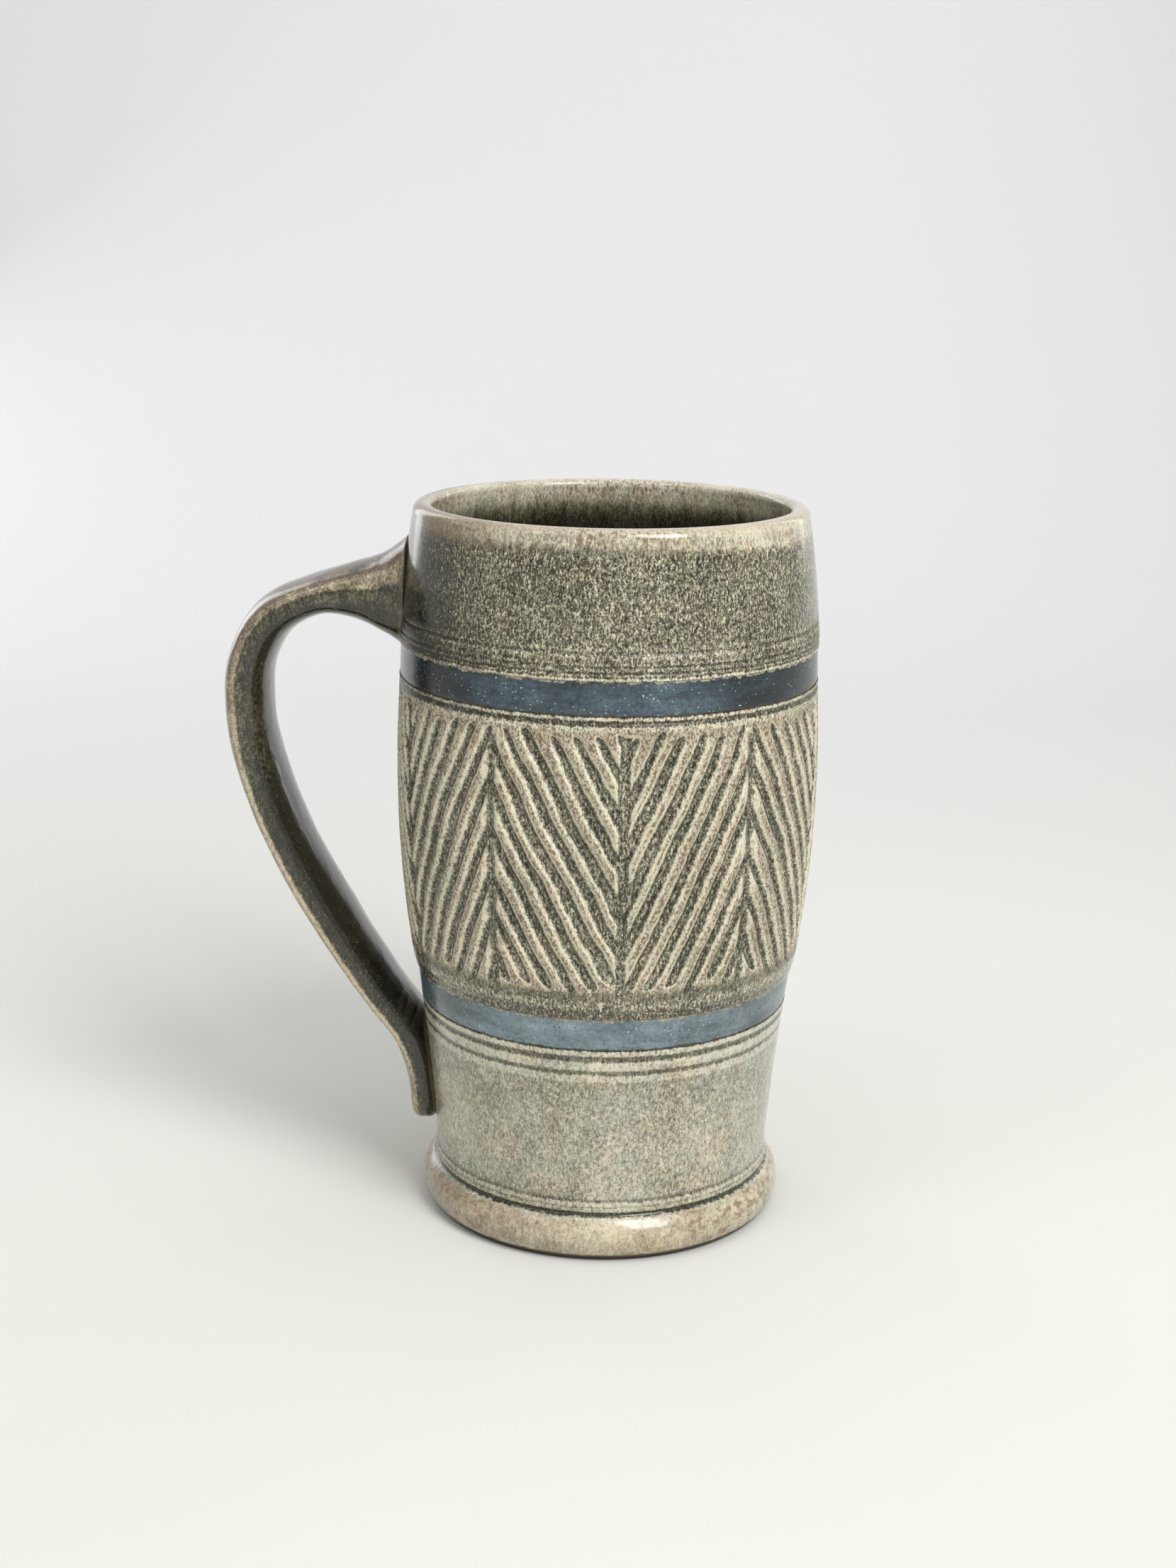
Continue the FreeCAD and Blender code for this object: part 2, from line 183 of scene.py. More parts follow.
class Wire:
    """A socket of a node tree; sums and products on it add the tree's Math nodes."""

    def __init__(self, tree, socket=None):
        self.tree = tree
        self.socket = socket

    def add(self, kind, settings=None, sockets=None, output=0):
        """Add any node: its settings first, then the values or links of its sockets."""
        node = self.tree.nodes.new(kind)
        for name, value in (settings or {}).items():
            setattr(node, name, value)
        for name, value in (sockets or {}).items():
            if isinstance(value, Wire):
                self.tree.links.new(value.socket, node.inputs[name])
            else:
                node.inputs[name].default_value = value
        return Wire(self.tree, node.outputs[output] if len(node.outputs) else None)

    def also(self, output):
        """Another output of the same node."""
        return Wire(self.tree, self.socket.node.outputs[output])

    def math(self, operation, *others):
        """A Math node on this number and the others."""
        return self.add("ShaderNodeMath", {"operation": operation},
                        dict(enumerate((self, *others))))

    def __add__(self, other):
        return self.math("ADD", other)

    def __sub__(self, other):
        return self.math("SUBTRACT", other)

    def __rsub__(self, other):
        return self.add("ShaderNodeMath", {"operation": "SUBTRACT"}, {0: other, 1: self})

    def __mul__(self, other):
        return self.math("MULTIPLY", other)

    def __truediv__(self, other):
        return self.math("DIVIDE", other)

    def __neg__(self):
        return self.math("MULTIPLY", -1.0)

    __radd__ = __add__
    __rmul__ = __mul__

    def rise(self, low, high):
        """0 at low and 1 at high, with a soft start and end."""
        return self.add("ShaderNodeMapRange", {"interpolation_type": "SMOOTHSTEP"},
                        {"Value": self, "From Min": low, "From Max": high})

    def between(self, start, full, fading, end):
        """1 from full to fading, going softly to 0 at start and at end."""
        return self.rise(start, full) * self.rise(end, fading)

    def mix(self, first, second):
        """A number that goes from first to second as this goes from 0 to 1."""
        return self.add("ShaderNodeMix", None, {0: self, 2: first, 3: second})

    def tint(self, first, second, way="MIX"):
        """A colour that goes from first to second as this goes from 0 to 1."""
        last = second if isinstance(second, Wire) else (*second, 1)
        return self.add("ShaderNodeMix", {"data_type": "RGBA", "blend_type": way},
                        {0: self, 6: first, 7: last}, 2)

    def ramp(self, stops):
        """A colour read from (position, colour) stops."""
        read = self.add("ShaderNodeValToRGB", None, {0: self})
        colours = read.socket.node.color_ramp
        colours.elements[0].position = stops[0][0]
        colours.elements[1].position = stops[-1][0]
        for position, _ in stops[1:-1]:
            colours.elements.new(position)
        for element, (_, colour) in zip(colours.elements, stops):
            element.color = (*colour, 1)
        return read

    def vector(self, operation, other):
        """A Vector Math node on this vector and another."""
        return self.add("ShaderNodeVectorMath", {"operation": operation}, {0: self, 1: other})

    def scaled(self, factor):
        """This vector times a number."""
        return self.add("ShaderNodeVectorMath", {"operation": "SCALE"}, {0: self, "Scale": factor})

    def parts(self):
        """The x, y and z of this vector."""
        x = self.add("ShaderNodeSeparateXYZ", None, {0: self})
        return x, x.also(1), x.also(2)

    def join(self, x=0.0, y=0.0, z=0.0):
        """A vector in this tree, from its x, y and z."""
        return self.add("ShaderNodeCombineXYZ", None, {0: x, 1: y, 2: z})

    def way_out(self):
        """The level direction from the cup's axis to this place, one long."""
        level = self.vector("MULTIPLY", (1, 1, 0))
        return self.add("ShaderNodeVectorMath", {"operation": "NORMALIZE"}, {0: level})

    def reach(self):
        """How far this place is from the cup's axis."""
        level = self.vector("MULTIPLY", (1, 1, 0))
        return self.add("ShaderNodeVectorMath", {"operation": "LENGTH"}, {0: level}, "Value")

    def number(self, value):
        """A fixed number as a socket of this tree."""
        fixed = self.add("ShaderNodeValue")
        fixed.socket.default_value = value
        return fixed

    def noise(self, size, detail=2.0, rough=0.5, stretch=(1, 1, 1)):
        """Soft noise about 0, for a place in millimetres; size is that of one feature."""
        place = self if stretch == (1, 1, 1) else self.vector("DIVIDE", stretch)
        return place.add("ShaderNodeTexNoise", None, {"Vector": place, "Scale": 1 / size,
                                                      "Detail": detail, "Roughness": rough}) - 0.5

    def chance(self):
        """An even random number from 0 to 1 for this vector."""
        return self.add("ShaderNodeTexWhiteNoise", {"noise_dimensions": "3D"}, {"Vector": self})

    def specks(self, spacing, radius, share):
        """1 inside small round specks, for a place in millimetres."""
        cell = self.add("ShaderNodeTexVoronoi", None, {"Vector": self, "Scale": 1 / spacing})
        chosen = cell.also(1).add("ShaderNodeSeparateColor", None, {0: cell.also(1)})
        near = cell.rise(radius / spacing, 0.5 * radius / spacing)
        return near * chosen.math("LESS_THAN", share)


# The carving.  Ten upright lines stand round the belly, valleys and peaks by turns, and
# flutes climb from each valley to the peak on either side.  Angles are in degrees, and a
# flute's share is the half width of its cut over the pitch of the flutes.
HALF_PANELS = 10.0
DEGREES, RADIANS = 180 / math.pi, math.pi / 180
CARVING = {"First valley": 7.1, "Half panel": 36.0, "Belly reach": 43.5, "Slope": 63.8,
           "Lean": 1.9, "Pitch": 4.1, "Flute share": 0.278, "Valley half width": 1.15,
           "Peak half width": 1.15, "Flute tops": 113.0, "Flute ends": 60.1, "Hand sway": 3.4,
           "Seed": 4.0}


def distance_to_cut(place, rule):
    """Millimetres from a place on the belly to the nearest carved edge, below 0 in a cut."""
    # Which half panel the place is in, and how far round it is from its valley.
    x, y, z = place.parts()
    spot = place.way_out().scaled(rule["Belly reach"]).vector("ADD", place.join(z=z))
    to_arc = rule["Belly reach"] * RADIANS
    turn = x.math("ARCTAN2", -y) * DEGREES - rule["First valley"]
    panel = (turn / rule["Half panel"]).math("FLOOR").math("FLOORED_MODULO", HALF_PANELS)
    falling = panel.math("FLOORED_MODULO", 2.0) * 2 - 1
    slope = (rule["Slope"] - falling * rule["Lean"]) * RADIANS
    from_valley = turn.math("PINGPONG", rule["Half panel"]) * to_arc
    from_peak = rule["Half panel"] * to_arc - from_valley

    # Which flute it is in, and how far that one's cut is: each has its own luck.
    start = place.join(panel, rule["Seed"], 3.7).chance()
    sway = spot.noise(11.0, 1.0) * rule["Hand sway"]
    across = (z + sway) * slope.math("COSINE") - from_valley * slope.math("SINE")
    climb = across / rule["Pitch"] + start
    flute = climb.math("FLOOR")
    key = place.join(flute, panel, rule["Seed"])
    luck = key.chance() - 0.5
    fortune = key.vector("ADD", (7.3, 1.9, 4.1)).chance() - 0.5
    off_centre = (climb - flute - 0.5 + luck * 0.1).math("ABSOLUTE")
    taper = 1.1 - from_valley / (rule["Half panel"] * to_arc) * 0.22
    share = rule["Flute share"] * taper * (1 - z.rise(98.0, 113.0) * 0.22)
    share = share + fortune * 0.07 + spot.noise(2.6, 1.0) * 0.1
    bow = (off_centre / share).math("MINIMUM", 1.4).math("POWER", 2.0)
    over = z - rule["Flute tops"] - luck * 1.6 + bow * 1.3
    under = rule["Flute ends"] + fortune * 3.0 + bow * 1.2 - z
    to_side = (off_centre - share) * rule["Pitch"]
    slanting = to_side.math("MAXIMUM", over).math("MAXIMUM", under)

    # The upright cuts down the valleys, and the fainter ones down the peaks.
    ragged = spot.noise(3.2, 2.0)
    past_ends = (z - rule["Flute tops"] + 0.4).math("MAXIMUM", rule["Flute ends"] - 2.0 - z)
    valley = (from_valley - rule["Valley half width"] - ragged * 1.5).math("MAXIMUM", past_ends)
    peak = from_peak - rule["Peak half width"] - ragged * 1.3
    peak = peak.math("MAXIMUM", past_ends + 0.8) * 0.45
    return slanting.math("MINIMUM", valley).math("MINIMUM", peak)


def node_tree_for(name, numbers):
    """A geometry tree with a geometry, a material and the given numbers as named inputs."""
    tree = bpy.data.node_groups.new(name, "GeometryNodeTree")
    for way in ("INPUT", "OUTPUT"):
        tree.interface.new_socket("Geometry", in_out=way, socket_type="NodeSocketGeometry")
    tree.interface.new_socket("Glaze", in_out="INPUT", socket_type="NodeSocketMaterial")
    for label, value in numbers.items():
        socket = tree.interface.new_socket(label, in_out="INPUT", socket_type="NodeSocketFloat")
        socket.default_value = value
    entry = tree.nodes.new("NodeGroupInput")
    return tree, {socket.name: Wire(tree, socket) for socket in entry.outputs if socket.name}


def end_tree(shape, glaze):
    """Make a geometry tree's result real, give it its glaze and end the tree."""
    real = shape.add("GeometryNodeRealizeInstances", None, {0: shape})
    glazed = real.add("GeometryNodeSetMaterial", None, {"Geometry": real, "Material": glaze})
    glazed.add("NodeGroupOutput", None, {0: glazed})


def run_tree(piece, tree, glaze, numbers):
    """Run a geometry tree on a piece and keep the plain mesh that it makes."""
    modifier = piece.modifiers.new(tree.name, "NODES")
    modifier.node_group = tree
    values = {**numbers, "Glaze": glaze}
    for item in tree.interface.items_tree:
        if item.in_out == "INPUT" and item.name in values:
            modifier[item.identifier] = values[item.name]
    depsgraph = bpy.context.evaluated_depsgraph_get()
    mesh = bpy.data.meshes.new_from_object(piece.evaluated_get(depsgraph))
    piece.modifiers.remove(modifier)
    piece.data = mesh
    mesh.name = piece.name


# The tool bites less at a flute's lower end, and the wall itself wavers a little.
CARVING_TOOL = {**CARVING, "Flute depth": 1.15, "Depth at lower end": 0.45,
                "Lower end from": 59.0, "Full depth from": 67.0, "Waver": 0.16,
                "Outside from": 39.9}
carving_tree, inputs = node_tree_for("carve the belly", CARVING_TOOL)
place = Wire(carving_tree).add("GeometryNodeInputPosition").scaled(1 / MM)
_, _, height = place.parts()
biting = height.rise(inputs["Lower end from"], inputs["Full depth from"])
depth = biting.mix(inputs["Depth at lower end"], 1.0) * inputs["Flute depth"]
sunk = distance_to_cut(place, inputs).rise(0.7, -0.95) * depth
waver = place.noise(26.0, 1.0).math("ABSOLUTE") * inputs["Waver"]
outside = place.reach().math("GREATER_THAN", inputs["Outside from"])
carved = inputs["Geometry"].add("GeometryNodeSetPosition", None, {
    "Geometry": inputs["Geometry"], "Selection": outside,
    "Offset": place.way_out().scaled((sunk + waver) * -MM)})
end_tree(carved, inputs["Glaze"])


def fired(red, green, blue):
    """A fired colour from 0-255 screen values, as the linear numbers that nodes use."""
    return tuple(v / 255 / 12.92 if v <= 10 else ((v / 255 + 0.055) / 1.055) ** 2.4
                 for v in (red, green, blue))


def new_glaze(name):
    """An empty material and the place on its piece, in millimetres."""
    material = bpy.data.materials.new(name)
    material.use_nodes = True
    material.node_tree.nodes.clear()
    return material, Wire(material.node_tree).add("ShaderNodeTexCoord", output=3).scaled(1 / MM)


def fire(colour, rough, relief, specular=0.5, glassy=0.4):
    """Join a glaze's colour, roughness and fine relief (in millimetres) to its surface."""
    bump = colour.add("ShaderNodeBump", None, {"Strength": 0.6, "Distance": MM, "Height": relief})
    surface = colour.add("ShaderNodeBsdfPrincipled", None,
                         {"Base Color": colour, "Roughness": rough, "Normal": bump,
                          "IOR": 1.5, "Specular IOR Level": specular,
                          "Coat Weight": glassy, "Coat Roughness": 0.07})
    surface.add("ShaderNodeOutputMaterial", None, {"Surface": surface})


OLIVE_TONES = [(0.0, fired(30, 28, 20)), (0.2, fired(60, 57, 43)), (0.4, fired(96, 92, 74)),
               (0.6, fired(138, 133, 113)), (0.8, fired(179, 173, 152)),
               (1.0, fired(214, 206, 183))]
GREEN_CAST = fired(228, 250, 232)
PINK_CAST = fired(255, 238, 228)


def olive(place, thin, contrast):
    """Olive stoneware glaze: dark where it pools, tan where it lies thin, flecked all over.

    Returns its colour and the fine relief that goes with the flecks.
    """
    streak = place.noise(0.44, 2.0, 0.65, (1, 1, 2.1))
    grain = place.noise(0.28, 1.0, 0.5, (1, 1, 1.3))
    curtain = place.noise(2.2, 2.0, 0.6, (1, 1, 2.6))
    cloud = place.noise(11.0, 2.0, 0.5, (1, 1, 1.8))
    tone = thin + (streak * 2.2 + grain * 1.5) * contrast + curtain * 0.26 + cloud * 0.36
    green = place.noise(6.0, 2.0).rise(0.0, 0.15)
    pink = place.noise(7.0, 2.0, 0.5, (1, 1, 0.8)).rise(0.02, 0.18)
    colour = (green * 0.3).tint(tone.ramp(OLIVE_TONES), GREEN_CAST, "MULTIPLY")
    colour = (pink * 0.4).tint(colour, PINK_CAST, "MULTIPLY")
    return colour, streak * 0.05 + grain * 0.03


def by_height(height, stops):
    """Read (height, value) stops at a height."""
    low, high = stops[0][0], stops[-1][0]
    shares = [((at - low) / (high - low), (value, value, value)) for at, value in stops]
    return ((height - low) / (high - low)).ramp(shares)


# How thin the olive glaze lies at each height, from 0 pooled to 1 worn back to tan.  Each
# list starts at the value that the one below it ends at.
FOOT_LINES = [(0.0, 0.6), (2.0, 0.74), (7.5, 0.82), (9.3, 0.76), (9.55, 0.12), (10.15, 0.12),
              (10.5, 0.74), (11.2, 0.68), (11.4, 0.5), (11.6, 0.76), (12.3, 0.78), (12.6, 0.46),
              (12.9, 0.46), (13.4, 0.7), (18.0, 0.76)]
LOW_LINES = [(28.0, 0.76), (36.0, 0.72), (39.6, 0.7), (40.0, 0.88), (41.2, 0.86), (41.5, 0.44),
             (42.1, 0.44), (42.6, 0.88), (44.1, 0.92), (44.6, 0.4), (45.4, 0.4), (45.8, 0.92),
             (46.6, 0.92), (46.9, 0.25), (53.9, 0.25), (54.4, 0.34), (56.0, 0.4), (56.8, 0.58),
             (57.7, 0.52), (58.6, 0.42), (62.0, 0.56)]
HIGH_LINES = [(111.0, 0.56), (113.0, 0.6), (113.6, 0.8), (114.5, 0.78), (114.8, 0.24),
              (115.6, 0.24), (115.9, 0.86), (116.3, 0.8), (116.5, 0.2), (123.4, 0.2),
              (123.5, 0.92), (123.9, 0.78), (124.2, 0.24), (124.5, 0.58), (124.9, 0.2),
              (125.4, 0.6), (126.1, 0.22), (126.6, 0.58), (127.1, 0.36), (128.1, 0.62),
              (128.7, 0.26), (129.3, 0.6), (130.2, 0.42), (133.0, 0.44)]
RIM_LINES = [(141.0, 0.44), (147.4, 0.45), (148.4, 0.62), (149.1, 0.82), (150.4, 0.8),
             (151.3, 0.86), (152.0, 0.95)]
# Heights where a part of the outside starts, is full, begins to fade, and ends.
BEAD_ZONE = (1.2, 2.4, 8.6, 9.3)
BELT_ZONE = (57.6, 58.6, 112.9, 113.9)
RIDGE_ZONE = (59.4, 61.2, 113.1, 113.9)
LINED_ZONE = (112.6, 113.4, 129.4, 131.0)
DRIP_ZONE = (144.0, 147.5, 149.5, 151.5)
DASH_ZONE = (147.4, 149.6, 151.5, 152.1)
COLD_CAST = fired(234, 238, 250)
WARM_CAST = fired(250, 242, 236)
RIM_BROWN = fired(108, 82, 62)
CREST_BROWN = fired(136, 114, 90)
RIDGE_TAN = fired(160, 138, 116)
PIT_BROWN = fired(96, 76, 58)
FIBRE_GREY = fired(184, 181, 162)
BEAD_BROWN = fired(124, 100, 72)
LEFT_SHADE_BROWN = fired(132, 112, 86)
IRON = fired(62, 48, 34)
BARE_TONES = [(0.0, fired(92, 78, 62)), (0.5, fired(136, 118, 96)), (1.0, fired(176, 158, 132))]
PAINTED_CONTACT_SHADOW = fired(40, 34, 32)


def drained_and_shaded_inside(place, height):
    """How thin the glaze lies down the inside of the lip, where it ran as it drained; below that
    it stays dark, partly pooled glaze and partly painted shade.
    """
    runs = place.noise(1.5, 2.0, 0.5, (1, 1, 5))
    return (height + runs * 3.4).rise(141.6, 151.0).mix(0.06, 0.9)


cup_glaze, place = new_glaze("carved_cup_glaze")
x, y, height = place.parts()
from_axis = place.reach()
azimuth = x.math("ARCTAN2", -y) * DEGREES

# How thin the glaze lies up the wall: it breaks on each turned line and runs off the rim.
broken = height + place.noise(0.9, 3.0, 0.6, (1, 1, 2.4)) * 1.1
drained = broken + place.noise(1.3, 3.0, 0.6, (1, 1, 1.8)) * 3.0 + x.rise(4.0, 38.0) * 1.6
thin = by_height(broken, FOOT_LINES)
for at, stops in ((broken, LOW_LINES), (broken, HIGH_LINES), (drained, RIM_LINES)):
    thin = thin + (by_height(at, stops) - stops[0][1])
drips = place.noise(1.0, 2.0, 0.5, (1, 1, 4)) * 0.6
thin = thin + drips * height.between(*DRIP_ZONE)

# In the carving it pools in every cut and wears back to tan on every edge.
belt = height.between(*BELT_ZONE)
ridges = height.between(*RIDGE_ZONE)
edge = distance_to_cut(place, {label: place.number(value) for label, value in CARVING.items()})
inside_cut = edge.rise(0.1, -0.7)
chipped = edge + place.noise(0.8, 2.0) * 0.7
flank = (chipped + 0.55).math("ABSOLUTE").rise(0.5, 0.15)
pooled = flank.mix(0.43, 0.23) + place.noise(2.4, 2.0, 0.5, (1, 1, 1.6)) * 0.36
thin = (ridges * chipped.rise(-0.25, 0.1)).mix(thin, 0.84)
thin = (inside_cut * belt).mix(thin, pooled)
worn_edge = (chipped - 0.2).math("ABSOLUTE").rise(0.38, 0.14) * belt * height.rise(59.5, 63.5)
thin = (worn_edge * 0.85).mix(thin, 0.97)

# It is darker round the handle's root as painted shade, and drained inside the lip, as the liner
# is.
painted_shade_by_handle = x.rise(-20.0, -38.0) * height.rise(110.0, 119.0)
thin = thin - painted_shade_by_handle * 0.42
inner_lip = from_axis.rise(38.8, 37.4) * height.rise(146.0, 147.0)
thin = inner_lip.mix(thin, drained_and_shaded_inside(place, height))

# The plain wall below the bands is softly mottled, and cooler than the rest.
low_wall = height.rise(50.0, 44.0)
mottled = place.noise(1.0, 2.0, 0.6, (1, 1, 1.5)) * 0.5 + place.noise(13.0) * 0.3
thin = thin + low_wall * mottled
near_rim = height.rise(146.0, 148.6)
contrast = 0.95 - low_wall * 0.45 - belt * (1 - inside_cut) * 0.35 - near_rim * 0.5
contrast = contrast - height.rise(10.0, 9.0) * 0.2
glazed, flecks = olive(place, thin, contrast)
plain_wall = low_wall * height.rise(9.6, 14.0)
cool = plain_wall * (place.noise(12.0, 1.0).rise(-0.2, 0.2) + x.rise(16.0, 34.0) * 0.5)
glazed = (cool * 0.7).tint(glazed, COLD_CAST, "MULTIPLY")

# Brown dashes under the rim, and a brown crest to it towards the handle, only on the front, so
# that the back of the lip stays pale as painted light.
dashes = place.noise(0.6, 2.0, 0.6, (1, 1, 2.4)).rise(-0.02, 0.1) * height.between(*DASH_ZONE)
dashes = dashes * place.noise(16.0, 1.0).rise(-0.22, 0.12)
glazed = (dashes * x.rise(34.0, -10.0).mix(0.45, 0.9)).tint(glazed, RIM_BROWN)
front = y.rise(20.0, -10.0)
crest = height.rise(150.0, 151.6) * (0.3 + x.rise(0.0, -36.0) * 0.35) * front
crest = crest.math("MAXIMUM", near_rim * x.rise(-10.0, -36.0) * 0.5 * front)
glazed = crest.tint(glazed, CREST_BROWN)

# Warm, pitted tops to the ridges, and pale fibres in the cuts between them.
ridge_top = (edge + place.noise(0.8, 2.0) * 0.5).rise(0.36, 0.6) * ridges
glazed = (ridge_top * 0.36).tint(glazed, RIDGE_TAN)
pits = place.noise(0.5, 2.0, 0.6, (1, 1, 1.3)).rise(-0.01, 0.06)
glazed = (ridge_top * pits * 0.82).tint(glazed, PIT_BROWN)
fibres = place.noise(0.45, 1.0, 0.5, (1, 1, 2.4)).rise(0.08, 0.17)
glazed = (fibres * inside_cut * belt * 0.5).tint(glazed, FIBRE_GREY)

# A warm foot bead, brown in patches round its sides, and browner on its left, below the handle, as
# painted shade.
on_bead = height.between(*BEAD_ZONE)
glazed = (on_bead * 0.9).tint(glazed, WARM_CAST, "MULTIPLY")
patches = place.noise(1.7, 3.0, 0.65, (1.5, 1.5, 1)).rise(-0.03, 0.12)
turned_away = azimuth.math("ABSOLUTE").rise(12.0, 40.0)
glazed = (patches * on_bead * turned_away * 0.8).tint(glazed, BEAD_BROWN)
painted_left_shade = x.rise(-4.0, -36.0) * (0.35 + place.noise(0.8, 3.0, 0.6) * 0.9)
glazed = (painted_left_shade * on_bead).tint(glazed, LEFT_SHADE_BROWN)
iron = place.specks(2.6, 0.3, 0.4)
glazed = (iron * 0.55).tint(glazed, IRON)

# The bare clay of the foot ring, wiped clean so that it doesn't stick to the kiln shelf.
bare_clay = (0.5 + place.noise(1.2, 4.0, 0.7) * 0.9).ramp(BARE_TONES)
unglazed = (height + place.noise(2.2, 3.0)).rise(1.9, 1.5)
# Painted contact shadow: the outside of the lowest 2 mm of bare clay goes nearly black.
contact_shadow_mask = height.rise(2.0, 0.9) * from_axis.rise(35.2, 36.0)
bare_clay = (contact_shadow_mask * 0.95).tint(bare_clay, PAINTED_CONTACT_SHADOW)
colour = unglazed.tint(glazed, bare_clay)

# Glossy all over, but satin on the carved belt and on the lines of the neck.
lined = height.between(*LINED_ZONE)
satin = lined.math("MAXIMUM", belt)
gloss = 0.12 + thin.math("MAXIMUM", 0.0) * 0.14 * (1 - near_rim)
gloss = gloss + place.noise(4.0, 2.0) * 0.06 + lined * 0.16 + satin * 0.12
rough = unglazed.mix(gloss, 0.85)
relief = flecks + place.noise(3.0, 2.0) * 0.12 + unglazed * place.noise(0.5, 3.0) * 0.12
fire(colour, rough, relief, glassy=0.4 * (1 - unglazed) * (1 - satin * 0.9))

run_tree(cup, carving_tree, cup_glaze, CARVING_TOOL)
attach(cup, "root")
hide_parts("thrown_body")


# ---------------------------------------------------------------------------------------
# The two blue bands.  Cobalt glaze brushed into a shallow turned bed while the cup spins
# on the wheel: the upper one is nearly navy, the lower one a paler, greyer blue.  Each is
# a thin coat with a ragged edge, speckled by the stoneware that it melted into.
# ---------------------------------------------------------------------------------------

COAT_SWELL = 0.08
BRUSHING = {"Ragged edge": 0.35, "Brush ridges": 0.07, "Middle": 120.0, "Half height": 3.5}


def brushed_band(name, bed, face):
    """A closed coat between its bed and its face; both are (height, reach) pairs."""
    (low, bed_low), (high, bed_high) = bed
    share = np.linspace(0, 1, 15)
    front = [(face[0] + (face[1] - face[0]) * t + COAT_SWELL * (4 * t * (1 - t)) ** 0.4
              - COAT_SWELL, low + (high - low) * t, TURNED) for t in share]
    return lathe(name, [(bed_low, low, TURNED), *front, (bed_high, high, TURNED)], closed=True)


brushing_tree, inputs = node_tree_for("brush a band", BRUSHING)
place = Wire(brushing_tree).add("GeometryNodeInputPosition").scaled(1 / MM)
_, _, height = place.parts()
from_middle = height - inputs["Middle"]
to_edge = (from_middle / inputs["Half height"]).math("POWER", 8.0)
nibbled = place.noise(1.6, 3.0, 0.6, (1, 1, 8)).math("ABSOLUTE") * 2 * inputs["Ragged edge"]
lift = nibbled * to_edge * from_middle.math("SIGN") * -MM
ridges = place.noise(0.9, 1.0, 0.5, (16, 16, 1)).math("ABSOLUTE") * inputs["Brush ridges"]
move = place.way_out().scaled(ridges * -MM).vector("ADD", place.join(z=lift))
brushed = inputs["Geometry"].add("GeometryNodeSetPosition", None,
                                 {"Geometry": inputs["Geometry"], "Offset": move})
end_tree(brushed, inputs["Glaze"])


PALE_SPECK = fired(206, 214, 210)
DARK_SPECK = fired(24, 24, 22)
LOW_EDGE_BROWN = fired(58, 46, 34)


def blue_glaze(name, bed, tones, speckle):
    """A brushed cobalt glaze in its bed, with a tan crust along its top edge."""
    (low, _), (high, _) = bed
    material, place = new_glaze(name)
    x, _, height = place.parts()
    strokes = place.noise(0.8, 2.0, 0.5, (14, 14, 1))
    cloud = place.noise(6.0, 3.0, 0.6, (1.6, 1.6, 1))
    mottle = place.noise(0.7, 3.0, 0.65)
    # Painted shade: darker towards the band's left and right sides, the upper band more so.
    painted_side_shade = x.rise(-14.0, -39.0) * 0.66 + x.rise(12.0, 37.0) * 0.55
    tone = 0.53 + strokes * 0.35 + cloud * 1.1 + mottle * 0.8 - painted_side_shade * speckle
    blue = tone.ramp(tones)
    pale = place.specks(0.7, 0.15, 0.4 * speckle) + place.specks(1.7, 0.24, 0.22 * speckle)
    blue = (pale * 0.85).tint(blue, PALE_SPECK)
    dark = place.specks(1.0, 0.26, 0.5 * speckle)
    blue = (dark * 0.7).tint(blue, DARK_SPECK)
    wander = height + place.noise(1.3, 3.0, 0.65, (1.5, 1.5, 1)) * 2.2
    crust = wander.rise(high - 0.5, high - 0.25)
    low_edge = wander.rise(low + 0.55, low + 0.25)
    colour = crust.tint(blue, (0.7 + mottle * 0.9).ramp(OLIVE_TONES))
    colour = (low_edge * 0.85).tint(colour, LOW_EDGE_BROWN)
    rough = 0.22 + mottle * 0.16 + crust * 0.1
    fire(colour, rough, mottle * 0.1 + strokes * 0.06 - dark * 0.06, glassy=0.25)
    return material


PALE_TONES = [(0.0, fired(56, 67, 72)), (0.3, fired(86, 100, 105)), (0.5, fired(108, 123, 129)),
              (0.7, fired(126, 142, 149)), (1.0, fired(162, 176, 180))]
lower_band = brushed_band("lower_blue_band_coat", LOW_BED, (39.2, 40.12))
lower_glaze = blue_glaze("lower_blue_band_glaze", LOW_BED, PALE_TONES, 0.5)
run_tree(lower_band, brushing_tree, lower_glaze, {**BRUSHING, "Middle": 50.4})
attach(lower_band, "root")
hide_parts("lower_blue_band")

DARK_TONES = [(0.0, fired(17, 25, 32)), (0.3, fired(42, 55, 64)), (0.5, fired(60, 76, 84)),
              (0.7, fired(80, 99, 108)), (1.0, fired(126, 145, 152))]
upper_band = brushed_band("upper_blue_band_coat", HIGH_BED, (43.5, 43.3))
upper_glaze = blue_glaze("upper_blue_band_glaze", HIGH_BED, DARK_TONES, 1.0)
run_tree(upper_band, brushing_tree, upper_glaze, BRUSHING)
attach(upper_band, "root")
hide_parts("upper_blue_band")


# ---------------------------------------------------------------------------------------
# The liner.  Glaze poured in, swirled and tipped out, so that it coats the whole inside of the
# cup: tan where it drained off the lip, running down in drips to a dark pool, which is partly
# painted shade.
# ---------------------------------------------------------------------------------------

COAT, COAT_TOP, THINS_OVER = 0.4, 148.3, 9.0
liner_inner = [(reach_at(INSIDE, z) - COAT * min(1, (COAT_TOP - z) / THINS_OVER), z, TURNED)
               for z in np.linspace(147.95, 14.2, 64)]
liner = lathe("liner_coat", (
    floor_inside[::-1]
    + inside[::-1]
    + liner_inner
    + [(30.4, 12.0, TURNED), (29.0, 10.35, TURNED), (27.2, 9.0, TURNED),
       (25.0, 8.4, TURNED), (14.0, 8.45, HIDDEN), (0, 8.4, HIDDEN)]))

